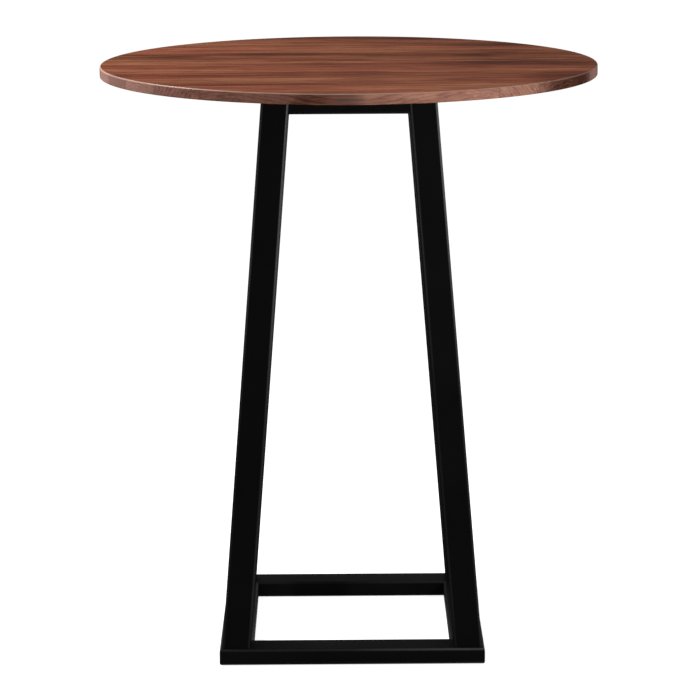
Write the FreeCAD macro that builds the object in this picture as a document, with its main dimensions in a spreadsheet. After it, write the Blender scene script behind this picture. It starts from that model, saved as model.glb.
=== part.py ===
# A round bar-height table: a solid wood top of edge-glued boards on a welded frame of
# square tube. Four legs lean inwards from a square floor ring to an upper frame, and two
# flat battens across the grain carry the top.
# Lengths are in millimetres. X runs along the grain, Y to the rear and Z up. The origin is
# on the floor under the middle of the top.

import FreeCAD, Part
import math
import os

import Sketcher

# Driving dimensions

DIMENSIONS = {
    # Whole table
    "table_height": 1065,
    # Round top
    "top_diameter": 900,
    "top_thickness": 19,
    "top_edge_ease": 2.5,
    "plank_margin": 10,
    # Floor ring of rectangular tube
    "ring_width": 480,
    "rail_width": 60,
    "rail_height": 30,
    # Legs and upper bars of one square tube, and the upper frame over its outer faces
    "leg_width": 50,
    "frame_top_width": 308,
    # Walls and outer corners of all the tube
    "tube_wall": 2,
    "tube_corner": 5,
    # Battens between frame and top
    "batten_width": 40,
    "batten_thickness": 5,
    "batten_length": 580,
    "batten_offset": 70,
    # Screws along a batten: from its middle, from its ends, and the play of the end slots
    "inner_screw_offset": 50,
    "end_screw_distance": 20,
    "slot_play": 8,
    # Screws, washers and threaded inserts
    "screw_diameter": 6,
    "screw_length": 16,
    "screw_head_diameter": 10.5,
    "screw_head_height": 3.3,
    "screw_head_round": 2,
    "socket_across_flats": 4,
    "socket_depth": 2,
    "screw_hole_clearance": 0.3,
    "washer_diameter": 18,
    "washer_thickness": 1.6,
    "insert_diameter": 10,
    "insert_length": 13,
    "insert_hole_depth": 14,
    "thread_clearance": 0.1,
    # Floor glides, set in from the ends of the front and rear rails
    "glide_end_distance": 75,
    "glide_diameter": 22,
    "glide_proud": 1,
    "glide_edge_round": 0.6,
    "glide_stem_diameter": 10,
    "glide_stem_length": 9,
    "glide_stem_clearance": 0.1,
}

# Widths of the glued boards from front to rear, each counted against their sum
BOARD_SHARES = (78, 72, 72, 76, 74, 64, 82, 97, 85, 76, 72, 52)

# Sizes that follow from the driving ones
DERIVED = {
    "top_underside": "=table_height - top_thickness",
    "frame_top": "=top_underside - batten_thickness",
    "ring_top": "=glide_proud + rail_height",
    "rail_offset": "=(ring_width - rail_width) / 2",
    "rail_middle": "=glide_proud + rail_height / 2",
    "rail_half_width": "=rail_width / 2",
    "rail_short_length": "=ring_width - 2 * rail_width",
    "rail_inner_width": "=rail_width - 2 * tube_wall",
    "rail_inner_height": "=rail_height - 2 * tube_wall",
    "leg_head_offset": "=(frame_top_width - leg_width) / 2",
    "leg_rise": "=frame_top - ring_top",
    "leg_lean": "=(rail_offset - leg_head_offset) / leg_rise",
    "leg_inner_width": "=leg_width - 2 * tube_wall",
    "leg_half_width": "=leg_width / 2",
    "bar_short_length": "=frame_top_width - 2 * leg_width",
    "bar_long_length": "=bar_short_length + 2 * leg_lean * leg_width",
    "bar_middle": "=frame_top - leg_half_width",
    "tube_inner_corner": "=tube_corner - tube_wall",
    "screw_hole_radius": "=screw_diameter / 2 + screw_hole_clearance",
    "screw_seat": "=frame_top - washer_thickness",
    "outer_screw_offset": "=batten_length / 2 - end_screw_distance",
    "slot_near_end": "=outer_screw_offset - slot_play / 2",
    "insert_hole_radius": "=insert_diameter / 2 + thread_clearance",
    "glide_offset": "=ring_width / 2 - glide_end_distance",
    "glide_hole_radius": "=glide_stem_diameter / 2 + glide_stem_clearance",
}

# The signs of X and Y on each side and at each corner, in the order of quarter turns
SIDES = {"front": (0, -1), "right": (1, 0), "rear": (0, 1), "left": (-1, 0)}
CORNERS = {"front_left": (-1, -1), "front_right": (1, -1), "rear_right": (1, 1), "rear_left": (-1, 1)}
QUARTER_TURN = FreeCAD.Units.Quantity("90 deg")

SCREW_ROWS = ("inner_screw_offset", "outer_screw_offset")
SOCKET_SIDE_COUNT = 6

doc = FreeCAD.newDocument("bar_table")
sheet = doc.addObject("Spreadsheet::Sheet", "Sizes")
nodes = []


def fill_sheet():
    rows = {**DIMENSIONS, **DERIVED}
    for number, (alias, value) in enumerate(rows.items(), start=1):
        sheet.set(f"A{number}", alias)
        sheet.set(f"B{number}", str(value))
        sheet.setAlias(f"B{number}", alias)
    doc.recompute()


def size(alias):
    return float(sheet.get(alias))


def bind(obj, prop, formula):
    # A formula writes each named size in braces, as in {rail_width} / 2.
    cells = {name: f"Sizes.{name}" for name in (*DIMENSIONS, *DERIVED)}
    obj.setExpression(prop, formula.format(**cells))


def place(obj, x, y, z, quarter_turns=0):
    degrees = quarter_turns * QUARTER_TURN.getValueAs("deg").Value
    turned = FreeCAD.Rotation(FreeCAD.Vector(0, 0, 1), degrees)
    obj.Placement = FreeCAD.Placement(FreeCAD.Vector(), turned)
    for axis, formula in zip("xyz", (x, y, z)):
        bind(obj, f"Placement.Base.{axis}", formula)


def new_body(label):
    return doc.addObject("PartDesign::Body", label)


def keep(obj, label):
    obj.Label = label
    nodes.append(obj)


# Sketches, all drawn about their own origin

def new_sketch(body, name, plane):
    sketch = body.newObject("Sketcher::SketchObject", name)
    support = next(item for item in body.Origin.OriginFeatures if item.Role == plane)
    sketch.AttachmentSupport = [(support, "")]
    sketch.MapMode = "FlatFace"
    return sketch


def measure(sketch, kind, elements, alias):
    index = sketch.addConstraint(Sketcher.Constraint(kind, *elements, size(alias)))
    bind(sketch, f"Constraints[{index}]", "{" + alias + "}")


def add_loop(sketch, points):
    # Straight sides from point to point, joined end to end and closed.
    first = sketch.GeometryCount
    for start, end in zip(points, points[1:] + points[:1]):
        sketch.addGeometry(Part.LineSegment(FreeCAD.Vector(*start), FreeCAD.Vector(*end)))
    sides = [first + step for step in range(len(points))]
    for side, following in zip(sides, sides[1:] + sides[:1]):
        sketch.addConstraint(Sketcher.Constraint("Coincident", side, 2, following, 1))
    return sides


def add_rectangle(sketch, width, height):
    half_x = size(width) / 2
    half_y = size(height) / 2
    corners = [(-half_x, -half_y), (half_x, -half_y), (half_x, half_y), (-half_x, half_y)]
    bottom, right, top, left = add_loop(sketch, corners)
    for side in (bottom, top):
        sketch.addConstraint(Sketcher.Constraint("Horizontal", side))
    for side in (right, left):
        sketch.addConstraint(Sketcher.Constraint("Vertical", side))
    sketch.addConstraint(Sketcher.Constraint("Symmetric", bottom, 1, top, 1, -1, 1))
    measure(sketch, "DistanceX", (bottom, 1, bottom, 2), width)
    measure(sketch, "DistanceY", (right, 1, right, 2), height)


def add_trapezoid(sketch, long_side, short_side, half_depth):
    # The long side lies below the origin and the short one above it.
    half_long = size(long_side) / 2
    half_short = size(short_side) / 2
    depth = size(half_depth)
    corners = [(-half_long, -depth), (half_long, -depth), (half_short, depth), (-half_short, depth)]
    bottom, _, top, _ = add_loop(sketch, corners)
    for side in (bottom, top):
        sketch.addConstraint(Sketcher.Constraint("Symmetric", side, 1, side, 2, -2))
    measure(sketch, "DistanceX", (bottom, 1, bottom, 2), long_side)
    measure(sketch, "DistanceX", (top, 2, top, 1), short_side)
    measure(sketch, "DistanceY", (bottom, 1, -1, 1), half_depth)
    measure(sketch, "DistanceY", (-1, 1, top, 1), half_depth)


def add_rounded_rectangle(sketch, width, height, corner):
    radius = size(corner)
    half_x = size(width) / 2
    half_y = size(height) / 2
    flat_x = half_x - radius
    flat_y = half_y - radius
    straights = [
        ((-flat_x, -half_y), (flat_x, -half_y)),
        ((half_x, -flat_y), (half_x, flat_y)),
        ((flat_x, half_y), (-flat_x, half_y)),
        ((-half_x, flat_y), (-half_x, -flat_y)),
    ]
    centres = [(flat_x, -flat_y), (flat_x, flat_y), (-flat_x, flat_y), (-flat_x, -flat_y)]
    lines = []
    arcs = []
    quarter = QUARTER_TURN.getValueAs("rad").Value
    for number, (ends, centre) in enumerate(zip(straights, centres)):
        start, end = (FreeCAD.Vector(*point) for point in ends)
        lines.append(sketch.addGeometry(Part.LineSegment(start, end)))
        circle = Part.Circle(FreeCAD.Vector(*centre), FreeCAD.Vector(0, 0, 1), radius)
        turn = (number - 1) * quarter
        arcs.append(sketch.addGeometry(Part.ArcOfCircle(circle, turn, turn + quarter)))
    for line, arc, following in zip(lines, arcs, lines[1:] + lines[:1]):
        sketch.addConstraint(Sketcher.Constraint("Tangent", line, 2, arc, 1))
        sketch.addConstraint(Sketcher.Constraint("Tangent", arc, 2, following, 1))
    for arc in arcs[1:]:
        sketch.addConstraint(Sketcher.Constraint("Equal", arcs[0], arc))
    bottom, right, top, left = lines
    sketch.addConstraint(Sketcher.Constraint("Horizontal", bottom))
    sketch.addConstraint(Sketcher.Constraint("Horizontal", top))
    sketch.addConstraint(Sketcher.Constraint("Vertical", right))
    sketch.addConstraint(Sketcher.Constraint("Vertical", left))
    sketch.addConstraint(Sketcher.Constraint("Symmetric", arcs[1], 3, arcs[3], 3, -1, 1))
    measure(sketch, "Radius", (arcs[0],), corner)
    measure(sketch, "DistanceX", (left, 1, right, 1), width)
    measure(sketch, "DistanceY", (bottom, 1, top, 1), height)


def add_circle(sketch, radius, offset, along, sign):
    # The centre lies on one axis of the sketch, at the offset to the side of the sign.
    distance = sign * size(offset)
    centre = (distance, 0) if along == "X" else (0, distance)
    circle = Part.Circle(FreeCAD.Vector(*centre), FreeCAD.Vector(0, 0, 1), size(radius))
    index = sketch.addGeometry(circle)
    on_axis = -1 if along == "X" else -2
    sketch.addConstraint(Sketcher.Constraint("PointOnObject", index, 3, on_axis))
    ends = (-1, 1, index, 3) if sign > 0 else (index, 3, -1, 1)
    measure(sketch, f"Distance{along}", ends, offset)
    measure(sketch, "Radius", (index,), radius)


def add_slot(sketch, radius, near_end, play, sign):
    # A slot along Y whose end centres are at near_end and near_end + play on the sign's side.
    reach = size(radius)
    low, high = sorted((sign * size(near_end), sign * (size(near_end) + size(play))))
    half_turn = 2 * QUARTER_TURN.getValueAs("rad").Value
    ends = []
    for centre, start in ((low, half_turn), (high, 0)):
        circle = Part.Circle(FreeCAD.Vector(0, centre), FreeCAD.Vector(0, 0, 1), reach)
        ends.append(sketch.addGeometry(Part.ArcOfCircle(circle, start, start + half_turn)))
    lower, upper = ends
    right = sketch.addGeometry(Part.LineSegment(FreeCAD.Vector(reach, low), FreeCAD.Vector(reach, high)))
    left = sketch.addGeometry(Part.LineSegment(FreeCAD.Vector(-reach, high), FreeCAD.Vector(-reach, low)))
    for first, second in ((lower, right), (right, upper), (upper, left), (left, lower)):
        sketch.addConstraint(Sketcher.Constraint("Tangent", first, 2, second, 1))
    for end in ends:
        sketch.addConstraint(Sketcher.Constraint("PointOnObject", end, 3, -2))
    measure(sketch, "Radius", (lower,), radius)
    measure(sketch, "DistanceY", (lower, 3, upper, 3), play)
    nearest = (-1, 1, lower, 3) if sign > 0 else (upper, 3, -1, 1)
    measure(sketch, "DistanceY", nearest, near_end)


# Features

def pad(body, sketch, length, both_ways=False):
    feature = body.newObject("PartDesign::Pad", "Pad")
    feature.Profile = sketch
    feature.Midplane = both_ways
    bind(feature, "Length", "{" + length + "}")
    doc.recompute()
    return feature


def pocket_through(body, sketch, both_ways=False):
    before = body.Shape.Volume
    feature = body.newObject("PartDesign::Pocket", "Pocket")
    feature.Profile = sketch
    feature.Type = "ThroughAll"
    feature.Midplane = both_ways
    doc.recompute()
    if body.Shape.Volume >= before:
        raise RuntimeError(f"{body.Label}: a pocket removed nothing")


def dress_edges(body, feature, kind, prop, alias, chosen):
    dressing = body.newObject(f"PartDesign::{kind}", kind)
    names = [f"Edge{n}" for n, edge in enumerate(feature.Shape.Edges, start=1) if chosen(edge)]
    dressing.Base = (feature, names)
    bind(dressing, prop, "{" + alias + "}")
    doc.recompute()


def round_edges(body, feature, radius, chosen):
    dress_edges(body, feature, "Fillet", "Radius", radius, chosen)


def runs_along_x(edge):
    run = edge.Vertexes[-1].Point - edge.Vertexes[0].Point
    return run.Length > 0 and math.isclose(abs(run.x), run.Length)


def is_ring(edge):
    return edge.isClosed()


def lower_rim(feature):
    middle = feature.Shape.BoundBox.Center.z
    return lambda edge: is_ring(edge) and edge.BoundBox.Center.z < middle


def add_round(body, kind, radius, height, x="0", y="0", z="0"):
    # A cylinder that adds to or takes from the body, on a foot point given by formulas.
    feature = body.newObject(f"PartDesign::{kind}Cylinder", "Round")
    support = next(item for item in body.Origin.OriginFeatures if item.Role == "XY_Plane")
    feature.AttachmentSupport = [(support, "")]
    feature.MapMode = "FlatFace"
    bind(feature, "Radius", radius)
    bind(feature, "Height", height)
    for axis, formula in zip("xyz", (x, y, z)):
        bind(feature, f"AttachmentOffset.Base.{axis}", formula)
    doc.recompute()
    return feature


def signed(sign, alias):
    return "0" if sign == 0 else f"{sign} * {{{alias}}}"


# Steel tube with closed or slanted ends

def hollow_bar(label, plane, outline, pad_length, hollow):
    # The outline is a trapezoid in the given plane, so the ends come out mitred or slanted.
    body = new_body(label)
    sketch = new_sketch(body, "Outline", plane)
    add_trapezoid(sketch, *outline)
    block = pad(body, sketch, pad_length, both_ways=True)
    round_edges(body, block, "tube_corner", runs_along_x)
    bore = new_sketch(body, "Bore", "YZ_Plane")
    add_rounded_rectangle(bore, *hollow, "tube_inner_corner")
    pocket_through(body, bore, both_ways=True)
    return body


def build_rail(side, sign_x, sign_y, quarter_turns):
    outline = ("ring_width", "rail_short_length", "rail_half_width")
    hollow = ("rail_inner_width", "rail_inner_height")
    body = hollow_bar(f"{side}_rail", "XY_Plane", outline, "rail_height", hollow)
    if sign_y:
        holes = new_sketch(body, "GlideHoles", "XY_Plane")
        for sign in (-1, 1):
            add_circle(holes, "glide_hole_radius", "glide_offset", "X", sign)
        pocket_through(body, holes)
    x, y = (signed(sign, "rail_offset") for sign in (sign_x, sign_y))
    place(body, x, y, "{rail_middle}", quarter_turns)
    keep(body, f"{side}_rail")


def build_bar(side, sign_x, sign_y, quarter_turns):
    outline = ("bar_long_length", "bar_short_length", "leg_half_width")
    hollow = ("leg_inner_width", "leg_inner_width")
    body = hollow_bar(f"{side}_bar", "XZ_Plane", outline, "leg_width", hollow)
    x, y = (signed(sign, "leg_head_offset") for sign in (sign_x, sign_y))
    place(body, x, y, "{bar_middle}", quarter_turns)
    keep(body, f"{side}_bar")


def build_leg(corner, sign_x, sign_y, quarter_turns):
    # The leg stands on the middle of the ring's corner. Its level section is carried up along
    # the lean, so both ends are cut level.
    body = new_body(f"{corner}_leg")
    section = new_sketch(body, "Section", "XY_Plane")
    add_rounded_rectangle(section, "leg_width", "leg_width", "tube_corner")
    add_rounded_rectangle(section, "leg_inner_width", "leg_inner_width", "tube_inner_corner")
    tube = pad(body, section, "leg_rise")
    tube.UseCustomVector = True
    tube.AlongSketchNormal = True
    tube.Direction = FreeCAD.Vector(size("leg_lean"), size("leg_lean"), 1)
    bind(tube, "Direction.x", "{leg_lean}")
    bind(tube, "Direction.y", "{leg_lean}")
    doc.recompute()
    x, y = (signed(sign, "rail_offset") for sign in (sign_x, sign_y))
    place(body, x, y, "{ring_top}", quarter_turns)
    keep(body, f"{corner}_leg")


# Battens

def build_batten(side, sign):
    body = new_body(f"{side}_batten")
    outline = new_sketch(body, "Outline", "XY_Plane")
    add_rectangle(outline, "batten_width", "batten_length")
    pad(body, outline, "batten_thickness")
    holes = new_sketch(body, "ScrewHoles", "XY_Plane")
    for end in (-1, 1):
        add_circle(holes, "screw_hole_radius", "inner_screw_offset", "Y", end)
        add_slot(holes, "screw_hole_radius", "slot_near_end", "slot_play", end)
    pocket_through(body, holes, both_ways=True)
    place(body, signed(sign, "batten_offset"), "0", "{frame_top}")
    keep(body, f"{side}_batten")


# Screws, washers and threaded inserts, one set at each screw place

def screw_places():
    return [
        (signed(side, "batten_offset"), signed(end, row))
        for side in (-1, 1)
        for row in SCREW_ROWS
        for end in (-1, 1)
    ]


def build_screw(label):
    # The head hangs below the origin, its rounded rim and hexagon socket facing down.
    body = new_body(label)
    head = add_round(
        body, "Additive", "{screw_head_diameter} / 2", "{screw_head_height}", z="-{screw_head_height}"
    )
    round_edges(body, head, "screw_head_round", lower_rim(head))
    add_round(body, "Additive", "{screw_diameter} / 2", "{screw_length}")
    socket = body.newObject("PartDesign::SubtractivePrism", "Socket")
    support = next(item for item in body.Origin.OriginFeatures if item.Role == "XY_Plane")
    socket.AttachmentSupport = [(support, "")]
    socket.MapMode = "FlatFace"
    socket.Polygon = SOCKET_SIDE_COUNT
    bind(socket, "Circumradius", f"{{socket_across_flats}} / 2 / cos(180 deg / {SOCKET_SIDE_COUNT})")
    bind(socket, "Height", "{socket_depth}")
    bind(socket, "AttachmentOffset.Base.z", "-{screw_head_height}")
    return body


def build_washer(label):
    body = new_body(label)
    add_round(body, "Additive", "{washer_diameter} / 2", "{washer_thickness}")
    add_round(body, "Subtractive", "{screw_hole_radius}", "{washer_thickness}")
    return body


def build_insert(label):
    body = new_body(label)
    add_round(body, "Additive", "{insert_diameter} / 2", "{insert_length}")
    add_round(body, "Subtractive", "{screw_diameter} / 2 + {thread_clearance}", "{insert_length}")
    return body


def build_set(label, build_one, level):
    members = []
    for number, (x, y) in enumerate(screw_places(), start=1):
        member = build_one(f"{label}_{number}")
        place(member, x, y, level)
        members.append(member)
    group = doc.addObject("Part::Compound", label)
    group.Links = members
    keep(group, label)


# Glides in the underside of the front and rear rails

def build_glide(corner, sign_x, sign_y):
    body = new_body(f"{corner}_glide")
    head = add_round(body, "Additive", "{glide_diameter} / 2", "{glide_proud}")
    round_edges(body, head, "glide_edge_round", lower_rim(head))
    add_round(body, "Additive", "{glide_stem_diameter} / 2", "{glide_stem_length}", z="{glide_proud}")
    place(body, signed(sign_x, "glide_offset"), signed(sign_y, "rail_offset"), "0")
    keep(body, f"{corner}_glide")


# Top: a round blank with the insert holes, divided along the glue lines

def build_blank():
    body = new_body("blank")
    disc = add_round(body, "Additive", "{top_diameter} / 2", "{top_thickness}")
    dress_edges(body, disc, "Chamfer", "Size", "top_edge_ease", is_ring)
    for x, y in screw_places():
        add_round(body, "Subtractive", "{insert_hole_radius}", "{insert_hole_depth}", x, y)
    place(body, "0", "0", "{top_underside}")
    return body


def build_boards(blank):
    total = sum(BOARD_SHARES)
    count = len(BOARD_SHARES)
    before = 0
    for number, share in enumerate(BOARD_SHARES, start=1):
        # The first and last planks start out wider than the round that is cut from them.
        front_margin = "{plank_margin}" if number == 1 else "0"
        rear_margin = "{plank_margin}" if number == count else "0"
        plank = doc.addObject("Part::Box", f"plank_{number:02d}")
        bind(plank, "Length", "{top_diameter} + 2 * {plank_margin}")
        bind(plank, "Width", f"{{top_diameter}} * {share} / {total} + {front_margin} + {rear_margin}")
        bind(plank, "Height", "{top_thickness}")
        start = f"{{top_diameter}} * ({before} / {total} - 1 / 2) - {front_margin}"
        place(plank, "-{top_diameter} / 2 - {plank_margin}", start, "{top_underside}")
        board = doc.addObject("Part::Common", f"board_{number:02d}")
        board.Base = blank
        board.Tool = plank
        keep(board, f"board_{number:02d}")
        before += share


def check_and_write():
    doc.recompute()
    for obj in doc.Objects:
        if "Invalid" in obj.State or "Error" in obj.State:
            raise RuntimeError(f"{obj.Label} did not compute: {obj.State}")
    os.makedirs("parts", exist_ok=True)
    for node in nodes:
        shape = node.Shape
        if shape.isNull() or not shape.isValid():
            raise RuntimeError(f"{node.Label} has no valid shape")
        shape.exportStep(f"parts/{node.Label}.step")
        print(f"{node.Label}: {len(shape.Solids)} solids, {shape.Volume:.0f} cubic millimetres")


fill_sheet()
for quarter_turns, (side, signs) in enumerate(SIDES.items()):
    build_rail(side, *signs, quarter_turns)
    build_bar(side, *signs, quarter_turns)
for quarter_turns, (corner, signs) in enumerate(CORNERS.items()):
    build_leg(corner, *signs, quarter_turns)
    build_glide(corner, *signs)
for side, sign in (("left", -1), ("right", 1)):
    build_batten(side, sign)
build_set("top_screws", build_screw, "{screw_seat}")
build_set("washers", build_washer, "{screw_seat}")
build_set("threaded_inserts", build_insert, "{top_underside}")
build_boards(build_blank())
check_and_write()
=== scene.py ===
import math

import bmesh
import bpy
from mathutils import Matrix, Vector


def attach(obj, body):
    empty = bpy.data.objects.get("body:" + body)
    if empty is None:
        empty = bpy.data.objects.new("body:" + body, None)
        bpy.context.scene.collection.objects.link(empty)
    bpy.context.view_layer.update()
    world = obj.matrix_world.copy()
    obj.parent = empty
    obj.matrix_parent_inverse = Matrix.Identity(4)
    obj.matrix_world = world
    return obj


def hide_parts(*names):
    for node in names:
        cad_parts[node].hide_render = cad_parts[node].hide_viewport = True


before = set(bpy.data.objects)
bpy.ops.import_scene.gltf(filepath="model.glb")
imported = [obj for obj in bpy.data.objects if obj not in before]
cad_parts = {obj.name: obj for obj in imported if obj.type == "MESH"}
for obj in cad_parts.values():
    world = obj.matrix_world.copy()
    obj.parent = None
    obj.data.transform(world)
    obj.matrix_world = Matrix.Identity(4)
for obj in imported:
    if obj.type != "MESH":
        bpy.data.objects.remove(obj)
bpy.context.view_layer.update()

scene = bpy.context.scene
scene.view_settings.view_transform = "Standard"
print("frame loaded:", len(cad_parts), "nodes")


# small helpers

closeEnough = 1e-6              # metres between values that count as equal
weldDistance = 0.00001
noiseSpan = (0.3, 0.7)          # most values of a noise lie between these

# settings that many nodes share
plus = {"operation": "ADD"}
minus = {"operation": "SUBTRACT"}
times = {"operation": "MULTIPLY"}
timesPlus = {"operation": "MULTIPLY_ADD"}
divided = {"operation": "DIVIDE"}
scaled = {"operation": "SCALE"}
absolute = {"operation": "ABSOLUTE"}
largest = {"operation": "MAXIMUM"}
length = {"operation": "LENGTH"}
mixedColour = {"data_type": "RGBA"}


def linearColour(hexColour):
    # sRGB hex to linear light
    values = [int(hexColour[i:i + 2], 16) / 255 for i in (1, 3, 5)]
    linear = [v / 12.92 if v <= 0.04045 else ((v + 0.055) / 1.055) ** 2.4 for v in values]
    return (*linear, 1.0)


def addNode(tree, kind, settings=None, *values, **named):
    # values go to the inputs in use, in their order or by name without its spaces; a node
    # among them is linked from its first output in use
    node = tree.nodes.new(kind)
    for name, value in (settings or {}).items():
        setattr(node, name, value)
    sockets = [socket for socket in node.inputs if socket.enabled]
    pairs = list(zip(sockets, values))
    for name, value in named.items():
        pairs.append((next(s for s in sockets if s.name.replace(" ", "") == name), value))
    for socket, value in pairs:
        if isinstance(value, bpy.types.Node):
            value = next(output for output in value.outputs if output.enabled)
        if isinstance(value, bpy.types.NodeSocket):
            tree.links.new(value, socket)
        else:
            socket.default_value = value
    return node


def newMaterial(name):
    material = bpy.data.materials.new(name)
    material.use_nodes = True
    material.node_tree.nodes.clear()
    return material, material.node_tree


def setStops(ramp, stops):
    # stops are pairs of a position and a hex colour
    elements = ramp.color_ramp.elements
    while len(elements) < len(stops):
        elements.new(1.0)
    for element, (position, colour) in zip(elements, stops):
        element.position = position
        element.color = linearColour(colour)
    return ramp


def grainNoise(tree, coords, perMetre, detail=2.0, roughness=0.5):
    # noise stretched by its number of waves per metre along each axis
    stretched = addNode(tree, "ShaderNodeVectorMath", times, coords, perMetre)
    return addNode(
        tree, "ShaderNodeTexNoise", Vector=stretched, Scale=1.0, Detail=detail, Roughness=roughness
    )


def formMesh(name, form):
    mesh = bpy.data.meshes.new(name)
    form.to_mesh(mesh)
    form.free()
    return mesh


def newPiece(name, mesh, material):
    piece = bpy.data.objects.new(name, mesh)
    scene.collection.objects.link(piece)
    mesh.materials.clear()
    mesh.materials.append(material)
    return piece


def applyModifiers(piece):
    # what the modifiers make of a piece becomes its plain mesh
    evaluated = piece.evaluated_get(bpy.context.evaluated_depsgraph_get())
    made = bpy.data.meshes.new_from_object(evaluated)
    piece.modifiers.clear()
    piece.data = made


def cleanShading(piece, angle=30):
    # broad faces stay flat in the light and only their rounded edges turn
    for polygon in piece.data.polygons:
        polygon.use_smooth = True
    piece.data.set_sharp_from_angle(angle=math.radians(angle))
    weighted = piece.modifiers.new("weightedNormals", "WEIGHTED_NORMAL")
    weighted.keep_sharp = True
    applyModifiers(piece)


def arrisShare(out, up, radius):
    # 1 in the middle of a rounded arris and 0 where it meets the flat faces
    if out <= 0 or up <= 0:
        return 0.0
    return min(1.0, 2 * out * up / radius ** 2) ** 2


def standFor(piece, slot, *nodes):
    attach(piece, "root")
    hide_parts(*nodes)


# walnut, planed and sanded, with a satin oil finish: warm mid brown with darker, redder
# heartwood streaks, long soft grain lines and fine open pores that run along the boards

walnut = {
    # each noise: waves per metre along, across and through the boards, detail, roughness
    "wander": ((1.3, 5.0, 5.0), 2.0, 0.5),
    "wanderDepth": 0.02,        # the grain strays sideways by up to 20 mm
    "ringSpacing": 0.0055,      # growth rings are 3 to 7 mm apart
    "uneven": ((0.6, 60.0, 60.0), 1.0, 0.5),
    "unevenDepth": 1.6,         # and shift by up to 1.6 rings
    "lateWood": -0.26,          # how much darker the end of each ring is
    "lateWoodPower": 3.0,       # and how suddenly it gets dark
    # patterns along the grain, and how much each one counts
    "patterns": {
        "patches": ((2.4, 15.0, 15.0), 2.0, 0.55, 0.15),    # 420 mm long and 65 mm wide
        "streaks": ((2.6, 64.0, 64.0), 3.0, 0.55, 0.15),    # 380 by 16 mm
        "flecks": ((9.0, 170.0, 170.0), 2.0, 0.55, 0.15),   # 110 by 6 mm
        # fibres 0.1 mm across, drawn 1.5 mm so that they show
        "fibres": ((16.0, 680.0, 680.0), 2.0, 0.55, 0.09),
    },
    "patternSpan": (0.32, 0.68),
    # dark veins that run with the grain, 30 mm apart, and the paler wood between them
    "veins": ((1.6, 34.0, 34.0), 4.0, 0.65),
    "veinWidth": 0.045,         # in parts of the noise's range
    "veinDark": -0.26,
    "veinPale": 0.0468,
    "seamWidth": 0.0009,        # glue line, drawn 1.8 mm wide so that it shows
    "seam": -0.5,
    # heartwood marks on the top, in mm: middle along and across, half length, half width, and
    # how much darker or paler
    "marks": (
        (229, 106, 50, 34, -0.24), (-125, 136, 130, 34, -0.23), (95, 112, 120, 48, -0.10),
        (305, -34, 200, 66, -0.22), (400, -242, 112, 122, -0.34), (150, 402, 105, 34, -0.16),
        (300, 245, 160, 100, -0.15), (0, 35, 80, 11, -0.14), (-20, -16, 75, 8, -0.13),
        (215, -262, 60, 26, -0.12), (-150, -232, 230, 7, 0.13), (-190, 72, 240, 5, 0.10),
        (-140, -456, 160, 25, -0.33), (165, -392, 220, 75, 0.16), (10, -454, 75, 12, 0.06),
        (185, -424, 70, 22, -0.10),
    ),
    "markFade": (0.35, 1.1),    # a mark fades out between these, in half sizes
    # their ragged outline, how far it reaches on each axis, and the shift to take off again
    "ragged": ((9.0, 40.0, 40.0), 3.0, 0.6),
    "raggedReach": 0.07,
    "raggedShares": (1.0, 0.35, 0.0),
    "raggedShift": (0.035, 0.012, 0.0),
    "colours": (
        (0.0, "#3d1e0e"), (0.25, "#61331f"), (0.5, "#804b34"), (0.75, "#986145"), (1.0, "#b47e5b")
    ),
    "red": ((1.3, 9.0, 9.0), 1.0, 0.5),     # a redder cast comes and goes, as in heartwood
    "redSpan": (0.35, 0.65),
    "redCast": "#f4dbe0",
    "pores": ((70.0, 1300.0, 1300.0), 1.0, 0.5),    # 0.2 mm across, drawn 0.8 mm
    "poreSpan": (0.63, 0.72),
    "poreStrength": 0.75,
    "poreColour": "#3a2016",
    "poreDepth": 0.0002,
    "fibreSpan": (0.25, 0.75),
    "fibreHeight": 0.35,        # in parts of the pores' depth
    "bump": 0.35,
    # end grain is greyer and paler, partly a painted sheen on the rim, and the marks count for
    # more there
    "endColours": ((0.0, "#3a2721"), (0.6, "#ab877d"), (1.0, "#c6a59a")),
    "endMarks": 1.9,
    "endSpan": (0.3, 0.95),     # how far the rim faces left or right
    "endStrength": 0.7,
    "sawnSpan": (0.1, 0.6),     # and up or down
    "sawnEdge": 0.3,
    "arrisColour": "#cba695",   # painted highlight: a paler colour on the eased upper edge
    "arrisLeast": 0.6,
    "arrisGloss": 0.6,          # the eased edge is also burnished by sleeves
    "arrisRoughness": 0.3,
    "roughness": (0.65, 0.75),
    "specular": 0.014,
    "ior": 1.5,
}


def markShares(tree, place, spec):
    # each mark is a soft-edged ellipse; all of them are added up
    soft = {"interpolation_type": "SMOOTHSTEP"}
    total = 0.0
    for x, y, halfLength, halfWidth, depth in spec["marks"]:
        middle = (x / 1000, y / 1000, 0.0)
        sizes = (1000 / halfLength, 1000 / halfWidth, 0.0)
        apart = addNode(tree, "ShaderNodeVectorMath", minus, place, middle)
        apart = addNode(tree, "ShaderNodeVectorMath", times, apart, sizes)
        away = addNode(tree, "ShaderNodeVectorMath", length, apart)
        share = addNode(tree, "ShaderNodeMapRange", soft, away, *spec["markFade"], depth, 0.0)
        total = addNode(tree, "ShaderNodeMath", plus, total, share)
    return total


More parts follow.
